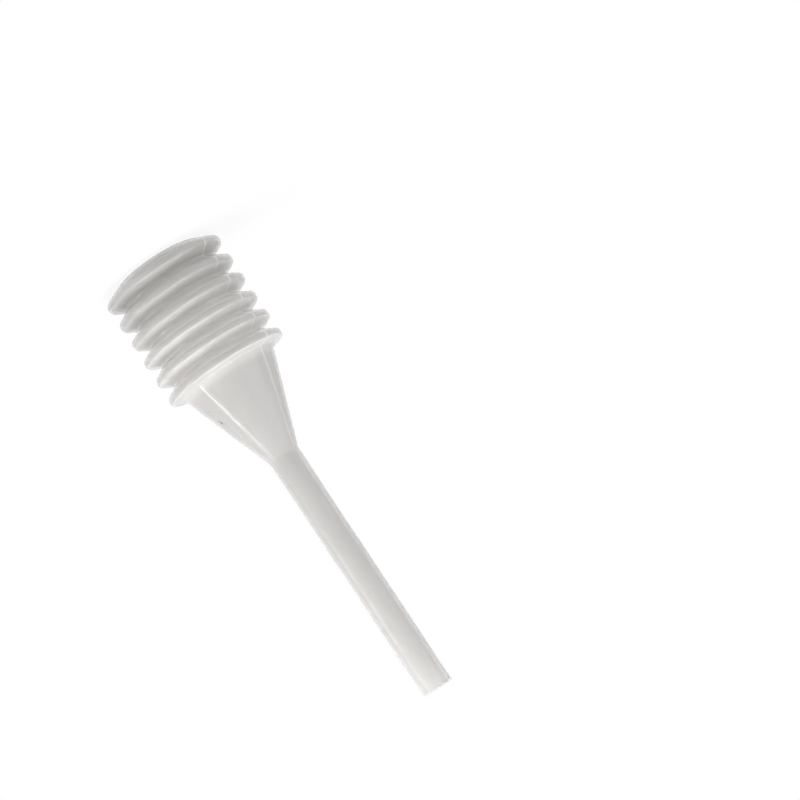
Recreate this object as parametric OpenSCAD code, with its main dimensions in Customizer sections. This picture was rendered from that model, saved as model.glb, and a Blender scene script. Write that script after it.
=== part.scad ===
// Plastic dropper pipette, blow moulded in one piece: a straight open stem, a cone and a
// bellows bulb with a closed end. It stands on the bulb's closed end with its mouth up.

/* [Stem] */
// Outside diameter of the stem
stem_od = 6.5; // [4:0.1:9]
// Straight length of the stem, from the cone to the mouth
stem_length = 54; // [20:1:120]
// Fillet where the stem grows out of the cone
stem_fillet = 2; // [0.5:0.1:5]

/* [Cone] */
// Length of the cone, from the bellows to the stem
cone_length = 19.6; // [10:0.2:40]
// How far the ribs stand out past the cone's wide end
cone_step = 2.9; // [2:0.1:4]
// Fillet where the cone meets the nearest rib
cone_fillet = 0.3; // [0.1:0.05:1]
// Distance from the cone's wide end to the nearest rib
neck_length = 1.7; // [1.4:0.1:3]

/* [Bellows] */
// Number of ribs
rib_count = 6; // [2:1:14]
// Distance from one rib to the next
rib_pitch = 4.4; // [3.6:0.1:8]
// Outside diameter over the ribs
rib_od = 26.2; // [23.4:0.2:40]
// Depth of the valleys between the ribs
rib_depth = 2.4; // [1.8:0.1:5]
// Outside rounding along each rib
rib_round = 1.15; // [0.9:0.05:1.2]
// Outside rounding in each valley
valley_round = 0.3; // [0.2:0.05:0.9]

/* [Closed end] */
// Height of the lowest rib over the surface that the bulb stands on
end_height = 2.8; // [2.2:0.1:5]
// Diameter of the flat ring that the bulb stands on
foot_od = 15.6; // [13:0.2:18]
// Rounding from the flat ring up to the lowest rib
foot_round = 3.4; // [1:0.1:4]
// Diameter of the shallow hollow inside the flat ring
hollow_d = 10; // [6:0.2:12]
// Depth of the shallow hollow
hollow_depth = 0.4; // [0.3:0.05:1]
// Length of the pinched seam across the closed end
seam_length = 8; // [2:0.2:12]
// Width of the pinched seam
seam_width = 0.5; // [0.2:0.05:1]
// How far the pinched seam stands out of the hollow
seam_height = 0.25; // [0.1:0.05:0.3]

/* [Wall] */
// Wall thickness, the same all over
wall = 0.55; // [0.3:0.05:0.8]

/* [Hidden] */
$fn = 96;

natural_polythene = [0.86, 0.87, 0.86, 0.8];

stem_r = stem_od / 2;
rib_r = rib_od / 2;
valley_r = rib_r - rib_depth;
cone_r = rib_r - cone_step;
foot_r = foot_od / 2;
hollow_r = hollow_d / 2;
hollow_ball_r = (hollow_r * hollow_r + hollow_depth * hollow_depth) / (2 * hollow_depth);

// Heights over the surface that the bulb stands on
lowest_rib = end_height;
highest_rib = lowest_rib + (rib_count - 1) * rib_pitch;
cone_base = highest_rib + neck_length;
cone_top = cone_base + cone_length;
mouth = cone_top + stem_length;

// The half outline is a line drawn tight round circles, like a belt, from the foot up to the
// stem. Each circle is [r, z, radius], and its radius is negative where the outline runs into
// a valley and not over a rib.
bellows_bends = [
    for (i = [0 : 2 * (rib_count - 1)])
        let (z = lowest_rib + i * rib_pitch / 2)
        i % 2 == 0
            ? [rib_r - rib_round, z, rib_round]
            : [valley_r + valley_round, z, -valley_round]
];
bends = concat(
    [[foot_r, foot_round, foot_round]],
    bellows_bends,
    [
        [cone_r + cone_fillet, cone_base, -cone_fillet],
        [stem_r + stem_fillet, cone_top, -stem_fillet]
    ]
);

// Direction that the straight wall from bend a to bend b faces
function facing(a, b) =
    let (gap = [b[0] - a[0], b[1] - a[1]])
    atan2(gap[1], gap[0]) - acos((a[2] - b[2]) / norm(gap));

// Point where the wall that faces an angle leaves a bend, at a depth under the outside
function touch(bend, angle, depth) =
    [bend[0], bend[1]] + (bend[2] - depth) * [cos(angle), sin(angle)];

// Ends of all the straight walls, from the foot up
function straight_walls(depth) = [
    for (i = [0 : len(bends) - 2])
        let (angle = facing(bends[i], bends[i + 1]))
        each [touch(bends[i], angle, depth), touch(bends[i + 1], angle, depth)]
];

// Half section of all that lies deeper than a depth under the outside, cut off at a top
module half_section(depth, top) {
    difference() {
        union() {
            polygon(concat(
                [[0, depth], [foot_r, depth]],
                straight_walls(depth),
                [[stem_r - depth, cone_top], [stem_r - depth, top], [0, top]]
            ));
            for (bend = bends)
                if (bend[2] > 0)
                    translate([bend[0], bend[1]]) circle(bend[2] - depth);
        }
        for (bend = bends)
            if (bend[2] < 0)
                translate([bend[0], bend[1]]) circle(depth - bend[2]);
        // The closed end is pushed up inside its flat ring
        translate([0, hollow_depth - hollow_ball_r]) circle(hollow_ball_r + depth);
    }
}

// Bar of plastic that the closing mould pinches across the closed end
module pinched_seam() {
    translate([-seam_length / 2, -seam_width / 2, hollow_depth - seam_height])
        cube([seam_length, seam_width, seam_height + wall / 2]);
}

module pipette() {
    color(natural_polythene)
        difference() {
            union() {
                rotate_extrude() half_section(0, mouth);
                pinched_seam();
            }
            rotate_extrude() half_section(wall, mouth + wall);
        }
}

pipette();
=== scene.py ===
import math
import bpy
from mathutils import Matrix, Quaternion, Vector


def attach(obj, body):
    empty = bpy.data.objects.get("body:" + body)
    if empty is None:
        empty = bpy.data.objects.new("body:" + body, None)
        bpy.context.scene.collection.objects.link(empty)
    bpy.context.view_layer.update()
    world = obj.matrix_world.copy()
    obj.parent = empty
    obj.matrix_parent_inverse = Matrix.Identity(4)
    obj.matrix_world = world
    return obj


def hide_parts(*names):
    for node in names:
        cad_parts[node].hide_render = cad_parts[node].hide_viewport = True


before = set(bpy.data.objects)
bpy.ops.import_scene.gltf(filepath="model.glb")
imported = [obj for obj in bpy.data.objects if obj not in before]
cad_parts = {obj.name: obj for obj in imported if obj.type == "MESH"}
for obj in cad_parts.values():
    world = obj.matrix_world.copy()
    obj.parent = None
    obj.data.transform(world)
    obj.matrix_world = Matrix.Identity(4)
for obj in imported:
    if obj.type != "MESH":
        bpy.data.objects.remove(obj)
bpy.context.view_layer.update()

mm = 0.001


def hexColour(text):
    parts = [int(text[i:i + 2], 16) / 255 for i in (1, 3, 5)]
    linear = [p / 12.92 if p <= 0.04045 else ((p + 0.055) / 1.055) ** 2.4 for p in parts]
    return (*linear, 1)


def addNode(tree, kind, inputs=None, **settings):
    node = tree.nodes.new(kind)
    for name, value in settings.items():
        setattr(node, name, value)
    for name, value in (inputs or {}).items():
        if isinstance(value, bpy.types.NodeSocket):
            tree.links.new(value, node.inputs[name])
        else:
            node.inputs[name].default_value = value
    return node


def newMaterial(name):
    material = bpy.data.materials.new(name)
    material.use_nodes = True
    material.node_tree.nodes.clear()
    return material, material.node_tree


def activate(piece):
    bpy.ops.object.select_all(action="DESELECT")
    bpy.context.view_layer.objects.active = piece
    piece.select_set(True)


def applyModifier(piece, kind, **settings):
    modifier = piece.modifiers.new(kind.title(), kind)
    for name, value in settings.items():
        setattr(modifier, name, value)
    activate(piece)
    bpy.ops.object.modifier_apply(modifier=modifier.name)


# camera

shot = {
    "place": (-0.36263, -0.45679, 0.1126),
    "aim": (-0.02017, 0.01456, 0.04931),
    "lens": 135,            # mm, on a 36 mm sensor
    "roll": 146.196,        # degrees about the line of sight, so the stem hangs down to the right
}


def addCamera():
    sight = (Vector(shot["aim"]) - Vector(shot["place"])).to_track_quat("-Z", "Y")
    turned = sight @ Quaternion((0, 0, 1), math.radians(shot["roll"]))
    bpy.ops.object.camera_add(location=shot["place"], rotation=turned.to_euler())
    camera = bpy.context.object
    camera.data.lens = shot["lens"]
    bpy.context.scene.camera = camera


addCamera()
print("camera placed")

# the pipette: half its outline is extruded from one point, then spun round the axis

shell = {
    # all in mm
    "stemDiameter": 6.5,
    "stemLength": 53.99,
    "stemFillet": 2,
    "coneLength": 19.6,
    "coneStep": 2.9,
    "coneFillet": 0.5,
    "neckLength": 1.7,
    "ribCount": 6,
    "ribPitch": 4.4,
    "ribDiameter": 26.2,
    "ribDepth": 2.4,
    "ribFlat": 0.5,         # width of the flat along each crest
    "ribRound": 0.65,       # rounding at both edges of that flat
    "valleyRound": 0.3,
    "endHeight": 2.8,
    "footDiameter": 15.6,
    "footRound": 3.4,
    "hollowDiameter": 10,
    "hollowDepth": 0.4,
    "wall": 0.55,
    "ringGap": 1.6,         # longest distance between two rings of points
    "hollowRings": 14,
    "bendStep": 16,         # degrees between the points round a bend
}

# steps and degrees of each spin: the columns stand close together beside both mould lines
columns = ((6, 4), (70, 172), (12, 8), (70, 172), (6, 4))


def shellBends():
    # circles that the outline is drawn tight round: radius, height, and the bend, which is
    # negative where the outline runs into a valley
    s = shell
    ribRadius = s["ribDiameter"] / 2
    bends = [(s["footDiameter"] / 2, s["footRound"], s["footRound"])]
    for i in range(2 * s["ribCount"] - 1):
        z = s["endHeight"] + i * s["ribPitch"] / 2
        if i % 2 == 0:
            for side in (-1, 1):
                bends.append((ribRadius - s["ribRound"], z + side * s["ribFlat"] / 2, s["ribRound"]))
        else:
            bends.append((ribRadius - s["ribDepth"] + s["valleyRound"], z, -s["valleyRound"]))
    coneBase = s["endHeight"] + (s["ribCount"] - 1) * s["ribPitch"] + s["neckLength"]
    coneTop = coneBase + s["coneLength"]
    bends.append((ribRadius - s["coneStep"] + s["coneFillet"], coneBase, -s["coneFillet"]))
    bends.append((s["stemDiameter"] / 2 + s["stemFillet"], coneTop, -s["stemFillet"]))
    return bends, coneTop


def wallAngle(a, b):
    gap = Vector((b[0] - a[0], b[1] - a[1]))
    return math.atan2(gap.y, gap.x) - math.acos((a[2] - b[2]) / gap.length)


def outlinePoints():
    s = shell
    bends, coneTop = shellBends()
    angles = [-math.pi / 2] + [wallAngle(a, b) for a, b in zip(bends, bends[1:])] + [0]
    # the hollow under the closed end is part of a large ball
    hollowRadius = s["hollowDiameter"] / 2
    ball = (hollowRadius ** 2 + s["hollowDepth"] ** 2) / (2 * s["hollowDepth"])
    points = []
    for i in range(s["hollowRings"] + 1):
        r = hollowRadius * i / s["hollowRings"]
        points.append((r, math.sqrt(ball ** 2 - r ** 2) - ball + s["hollowDepth"]))
    for (r, z, bend), start, end in zip(bends, angles, angles[1:]):
        steps = max(3, round(abs(end - start) / math.radians(s["bendStep"])))
        for k in range(steps + 1):
            angle = start + (end - start) * k / steps
            points.append((r + bend * math.cos(angle), z + bend * math.sin(angle)))
    points.append((s["stemDiameter"] / 2, coneTop + s["stemLength"]))
    # long straight walls are cut into short lengths
    filled = [points[0]]
    for a, b in zip(points, points[1:]):
        gap = math.dist(a, b)
        if gap > 1e-6:
            parts = math.ceil(gap / s["ringGap"])
            for k in range(1, parts + 1):
                filled.append((a[0] + (b[0] - a[0]) * k / parts, a[1] + (b[1] - a[1]) * k / parts))
    return [(r * mm, z * mm) for r, z in filled]


def makeShell():
    outline = outlinePoints()
    bpy.ops.object.select_all(action="DESELECT")
    bpy.ops.mesh.primitive_plane_add(size=mm, location=(0, 0, 0))
    piece = bpy.context.object
    piece.name = "natural_pipette"
    bpy.ops.object.mode_set(mode="EDIT")
    bpy.ops.mesh.merge(type="CENTER")
    bpy.ops.transform.translate(value=(outline[0][0], 0, outline[0][1]))
    for a, b in zip(outline, outline[1:]):
        bpy.ops.mesh.extrude_region_move(
            TRANSFORM_OT_translate={"value": (b[0] - a[0], 0, b[1] - a[1])})
    bpy.ops.mesh.select_all(action="SELECT")
    for steps, degrees in columns:
        bpy.ops.mesh.spin(steps=steps, angle=-math.radians(degrees), center=(0, 0, 0), axis=(0, 0, 1))
    bpy.ops.mesh.select_all(action="SELECT")
    bpy.ops.mesh.remove_doubles(threshold=0.001 * mm)
    bpy.ops.mesh.normals_make_consistent(inside=False)
    bpy.ops.object.mode_set(mode="OBJECT")
    return piece


pipette = makeShell()
print("shell spun,", len(pipette.data.vertices), "points")

marks = {
    # all in mm
    "partingWidth": 0.22,       # half width of the raised line where the mould halves met
    "partingHeight": 0.1,
    "partingOnRibs": 0.3,       # share of that height left on the crests, which touch the mould
    "partingFrom": 0.6,         # height at which it begins
    "stemWaves": 0.12,          # how far the stem's wall wanders inwards
    "stemWaveSize": 11,
    "stemWavesFrom": 46,        # height at which they begin
    "ribWaves": 0.2,            # the same for the bellows
    "ribWaveSize": 5,
    "ribWavesFrom": 1.5,
    "ribWavesTo": 30,
    "seamLength": 8,            # bar that the closing mould pinched under the closed end
    "seamWidth": 0.5,
    "seamHeight": 0.25,
}


def weightGroup(piece, name, weight):
    group = piece.vertex_groups.new(name=name)
    for v in piece.data.vertices:
        group.add([v.index], min(1, max(0, weight(v.co))), "REPLACE")


def partingWeight(point):
    beside = math.exp(-(point.y / (marks["partingWidth"] * mm)) ** 2)
    room = shell["ribDiameter"] / 2 - abs(point.x) / mm
    above = min(1, max(0, point.z / mm - marks["partingFrom"]))
    return beside * min(1, marks["partingOnRibs"] + room) * above


def seamWeight(point):
    across = math.exp(-(2 * point.y / (marks["seamWidth"] * mm)) ** 4)
    along = math.exp(-(2 * point.x / (marks["seamLength"] * mm)) ** 12)
    return across * along if point.z < mm else 0


def roughenShell(piece):
    m = marks
    clouds = {}
    for name, size in (("stem", m["stemWaveSize"]), ("bellows", m["ribWaveSize"])):
        clouds[name] = bpy.data.textures.new(name + "Waves", "CLOUDS")
        clouds[name].noise_scale = size * mm
    # the waves come in over 8 mm on the stem, and over 2 and 4 mm at the ends of the bellows
    weightGroup(piece, "stem", lambda p: (p.z / mm - m["stemWavesFrom"]) / 8)
    weightGroup(piece, "bellows", lambda p: min((p.z / mm - m["ribWavesFrom"]) / 2,
                                                (m["ribWavesTo"] - p.z / mm) / 4))
    weightGroup(piece, "parting", partingWeight)
    weightGroup(piece, "seam", seamWeight)
    # the waves only pull inwards, so the pipette grows no larger
    applyModifier(piece, "DISPLACE", strength=m["ribWaves"] * mm, mid_level=1,
                  texture=clouds["bellows"], texture_coords="GLOBAL", vertex_group="bellows")
    applyModifier(piece, "DISPLACE", strength=m["stemWaves"] * mm, mid_level=1,
                  texture=clouds["stem"], texture_coords="GLOBAL", vertex_group="stem")
    applyModifier(piece, "DISPLACE", strength=m["partingHeight"] * mm, mid_level=0,
                  vertex_group="parting")
    applyModifier(piece, "DISPLACE", strength=m["seamHeight"] * mm, mid_level=0,
                  vertex_group="seam")
    applyModifier(piece, "SOLIDIFY", thickness=shell["wall"] * mm, offset=-1, use_even_offset=True)
    for name in ("stem", "bellows", "parting", "seam"):
        piece.vertex_groups.remove(piece.vertex_groups[name])


roughenShell(pipette)
activate(pipette)
bpy.ops.object.shade_smooth_by_angle(angle=math.radians(40))
print("wall given its thickness,", len(pipette.data.polygons), "faces")

# Natural low density polythene, blow moulded: a milky wall that lets some light through, with a soft
# waxy gloss and no grain.
# Its colour also carries painted shade, darker on the crests, towards the closed end and on the cone
# and stem, and a painted highlight along the mould line.

polythene = {
    "body": "#E8E6E4",
    "streak": "#DEDCDA",
    "clear": "#CECCCA",             # painted shade: the cone and stem drawn darker than the bellows
    "coneStemShadeFade": (26.2, 28.2),      # heights in mm between which that begins
    "end": "#C8C6C3",               # painted shade: the bulb drawn darker towards its closed end
    "closedEndShadeFade": (2, 20),             # heights in mm between which that stops
    "crest": "#C2C0BE",             # painted shade along the flat of each crest
    "crestShadeBand": 0.16,              # mm below the ribs' full radius at which that begins
    "parting": "#ECEAE8",           # painted highlight along the raised mould line
    "dust": "#5C5750",
    "streakWidth": 5,               # mm, and four times as long
    "dimpleWidth": 1.8,             # mm, the mould's fine dimples drawn coarse enough to show
    "dimpleDepth": 0.02,            # mm
    "roughness": 0.14,
    "ior": 1.51,
    "depth": 0.5,                   # mm that light wanders inside the wall
    "alpha": 0.5,
}

specks = (
    # dust that the surface holds: place in mm, size in mm, strength
    ((3.1, -6.9, 34.1), 0.45, 0.9),
    ((3.3, -7.0, 33.6), 0.34, 0.8),
    ((3.2, -8.0, 31.0), 0.22, 0.4),
)


def makePolythene():
    p = polythene
    material, tree = newMaterial("natural_polythene_blow_moulded")
    place = addNode(tree, "ShaderNodeTexCoord").outputs["Object"]

    stretched = addNode(tree, "ShaderNodeMapping", {"Vector": place, "Scale": (1, 1, 0.25)})
    streaks = addNode(tree, "ShaderNodeTexNoise", {
        "Vector": stretched.outputs[0], "Scale": 1 / (p["streakWidth"] * mm), "Detail": 3,
        "Roughness": 0.5})
    axes = addNode(tree, "ShaderNodeSeparateXYZ", {0: place})
    # painted shade: the bulb darker towards its closed end
    low = addNode(tree, "ShaderNodeMapRange", {
        "Value": axes.outputs["Z"], "From Min": p["closedEndShadeFade"][0] * mm,
        "From Max": p["closedEndShadeFade"][1] * mm, "To Min": 1, "To Max": 0},
        interpolation_type="SMOOTHSTEP")
    flat = addNode(tree, "ShaderNodeVectorMath", {0: place, 1: (1, 1, 0)}, operation="MULTIPLY")
    radius = addNode(tree, "ShaderNodeVectorMath", {0: flat.outputs[0]}, operation="LENGTH")
    ribRadius = shell["ribDiameter"] / 2 * mm
    # painted shade: the cone and stem darker than the bellows
    coneStemShade = addNode(tree, "ShaderNodeMapRange", {
        "Value": axes.outputs["Z"], "From Min": p["coneStemShadeFade"][0] * mm,
        "From Max": p["coneStemShadeFade"][1] * mm}, interpolation_type="SMOOTHSTEP")
    # painted shade along the crests
    crestShade = addNode(tree, "ShaderNodeMapRange", {
        "Value": radius.outputs["Value"], "From Min": ribRadius - 2 * p["crestShadeBand"] * mm,
        "From Max": ribRadius - p["crestShadeBand"] * mm}, interpolation_type="SMOOTHSTEP")
    # painted highlight along the mould line, on both sides
    beside = addNode(tree, "ShaderNodeMath", {0: axes.outputs["Y"]}, operation="ABSOLUTE")
    partingHighlight = addNode(tree, "ShaderNodeMapRange", {
        "Value": beside.outputs[0], "From Min": marks["partingWidth"] * mm,
        "From Max": 2 * marks["partingWidth"] * mm, "To Min": 0.5, "To Max": 0},
        interpolation_type="SMOOTHSTEP")
    # layers: random streaks, painted shade towards the closed end, on the cone and stem and on the
    # crests, a painted highlight on the mould line, then dust
    layers = [(streaks.outputs["Fac"], "streak"), (low.outputs[0], "end"),
              (coneStemShade.outputs[0], "clear"), (crestShade.outputs[0], "crest"), (partingHighlight.outputs[0], "parting")]
    for spot, size, strength in specks:
        away = addNode(tree, "ShaderNodeVectorMath", {
            0: place, 1: [v * mm for v in spot]}, operation="DISTANCE")
        inside = addNode(tree, "ShaderNodeMapRange", {
            "Value": away.outputs["Value"], "From Min": 0.5 * size * mm, "From Max": size * mm,
            "To Min": strength, "To Max": 0}, interpolation_type="SMOOTHSTEP")
        layers.append((inside.outputs[0], "dust"))
    colour = hexColour(p["body"])
    for share, name in layers:
        mixed = addNode(tree, "ShaderNodeMix", {0: share, 6: colour, 7: hexColour(p[name])},
                        data_type="RGBA")
        colour = mixed.outputs[2]
    skin = addNode(tree, "ShaderNodeTexNoise", {
        "Vector": place, "Scale": 1 / (p["dimpleWidth"] * mm), "Detail": 2})
    bump = addNode(tree, "ShaderNodeBump", {
        "Height": skin.outputs["Fac"], "Strength": 0.5, "Distance": p["dimpleDepth"] * mm})
    shader = addNode(tree, "ShaderNodeBsdfPrincipled", {
        "Base Color": colour, "Roughness": p["roughness"], "IOR": p["ior"],
        "Subsurface Weight": 1.0, "Subsurface Radius": (1, 1, 1), "Subsurface Scale": p["depth"] * mm,
        "Alpha": p["alpha"], "Normal": bump.outputs[0]})
    addNode(tree, "ShaderNodeOutputMaterial", {"Surface": shader.outputs[0]})
    return material


pipette.data.materials.clear()
pipette.data.materials.append(makePolythene())
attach(pipette, "root")
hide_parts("pipette")
print("material made")

# floor, world and lamps

stage = {
    "floor": "#F2F2F2",
    "floorSize": 8,         # m
    "shadowFrom": 0.015,    # m from the axis, where the shadow shows most
    "shadowReach": 0.09,    # m from the axis, where the floor has become plain white
    "shadowShare": 0.09,    # how much of the floor's own shading shows close to the pipette
    "world": 0.45,
}


def unlitRays(tree):
    # the rays that see plain white: straight from the camera, mirrored and passed through
    seen = addNode(tree, "ShaderNodeLightPath")
    either = addNode(tree, "ShaderNodeMath", {
        0: seen.outputs["Is Camera Ray"], 1: seen.outputs["Is Glossy Ray"]}, operation="MAXIMUM")
    return addNode(tree, "ShaderNodeMath", {
        0: either.outputs[0], 1: seen.outputs["Is Transmission Ray"]}, operation="MAXIMUM").outputs[0]


def makeFloor():
    bpy.ops.object.select_all(action="DESELECT")
    bpy.ops.mesh.primitive_plane_add(size=stage["floorSize"], location=(0, 0, 0))
    floor = bpy.context.object
    floor.name = "floor"
    # white drawing paper, rolled smooth: quite matt, so it shows a faint soft shadow and no gloss
    material, tree = newMaterial("white_paper_floor")
    place = addNode(tree, "ShaderNodeTexCoord").outputs["Object"]
    away = addNode(tree, "ShaderNodeVectorMath", {0: place}, operation="LENGTH")
    white = addNode(tree, "ShaderNodeMapRange", {
        "Value": away.outputs["Value"], "From Min": stage["shadowFrom"],
        "From Max": stage["shadowReach"], "To Min": 1 - stage["shadowShare"], "To Max": 1},
        interpolation_type="SMOOTHSTEP")
    share = addNode(tree, "ShaderNodeMath", {0: unlitRays(tree), 1: white.outputs[0]},
                    operation="MULTIPLY")
    matt = addNode(tree, "ShaderNodeBsdfDiffuse", {"Color": hexColour(stage["floor"])})
    glow = addNode(tree, "ShaderNodeEmission", {"Color": (1, 1, 1, 1), "Strength": 1})
    both = addNode(tree, "ShaderNodeMixShader", {
        0: share.outputs[0], 1: matt.outputs[0], 2: glow.outputs[0]})
    addNode(tree, "ShaderNodeOutputMaterial", {"Surface": both.outputs[0]})
    floor.data.materials.append(material)


def makeWorld():
    world = bpy.data.worlds.new("studio")
    bpy.context.scene.world = world
    world.use_nodes = True
    tree = world.node_tree
    tree.nodes.clear()
    dim = addNode(tree, "ShaderNodeBackground", {"Color": (1, 1, 1, 1), "Strength": stage["world"]})
    white = addNode(tree, "ShaderNodeBackground", {"Color": (1, 1, 1, 1), "Strength": 1})
    both = addNode(tree, "ShaderNodeMixShader", {
        0: unlitRays(tree), 1: dim.outputs[0], 2: white.outputs[0]})
    addNode(tree, "ShaderNodeOutputWorld", {"Surface": both.outputs[0]})


lamps = {
    # name: degrees round the pipette from the camera's side, rise, metres away, width, height, watts
    "strip": (77, 14, 0.6, 0.018, 0.5, 1.4),
    "front": (-10, 62, 0.7, 0.3, 0.3, 1.65),
    "right": (-55, 20, 0.7, 0.5, 0.5, 0.9),
    "left": (66, 60, 0.7, 0.3, 0.3, 0.55),
    "mouth": (40, 60, 0.15, 0.05, 0.05, 0.11),
}


def addLamps():
    towards = math.atan2(shot["place"][1], shot["place"][0])
    middle = Vector((0, 0, 0.04))
    for name, (turn, rise, distance, width, height, watts) in lamps.items():
        angle = towards + math.radians(turn)
        lift = math.radians(rise)
        way = Vector((math.cos(angle) * math.cos(lift), math.sin(angle) * math.cos(lift),
                      math.sin(lift)))
        bpy.ops.object.light_add(type="AREA", location=middle + way * distance,
                                 rotation=way.to_track_quat("Z", "Y").to_euler())
        lamp = bpy.context.object
        lamp.name = name
        lamp.data.shape = "RECTANGLE"
        lamp.data.size = width
        lamp.data.size_y = height
        lamp.data.energy = watts
        lamp.visible_camera = False


makeFloor()
makeWorld()
addLamps()
bpy.context.scene.view_settings.view_transform = "Standard"
print("stage and lamps set")
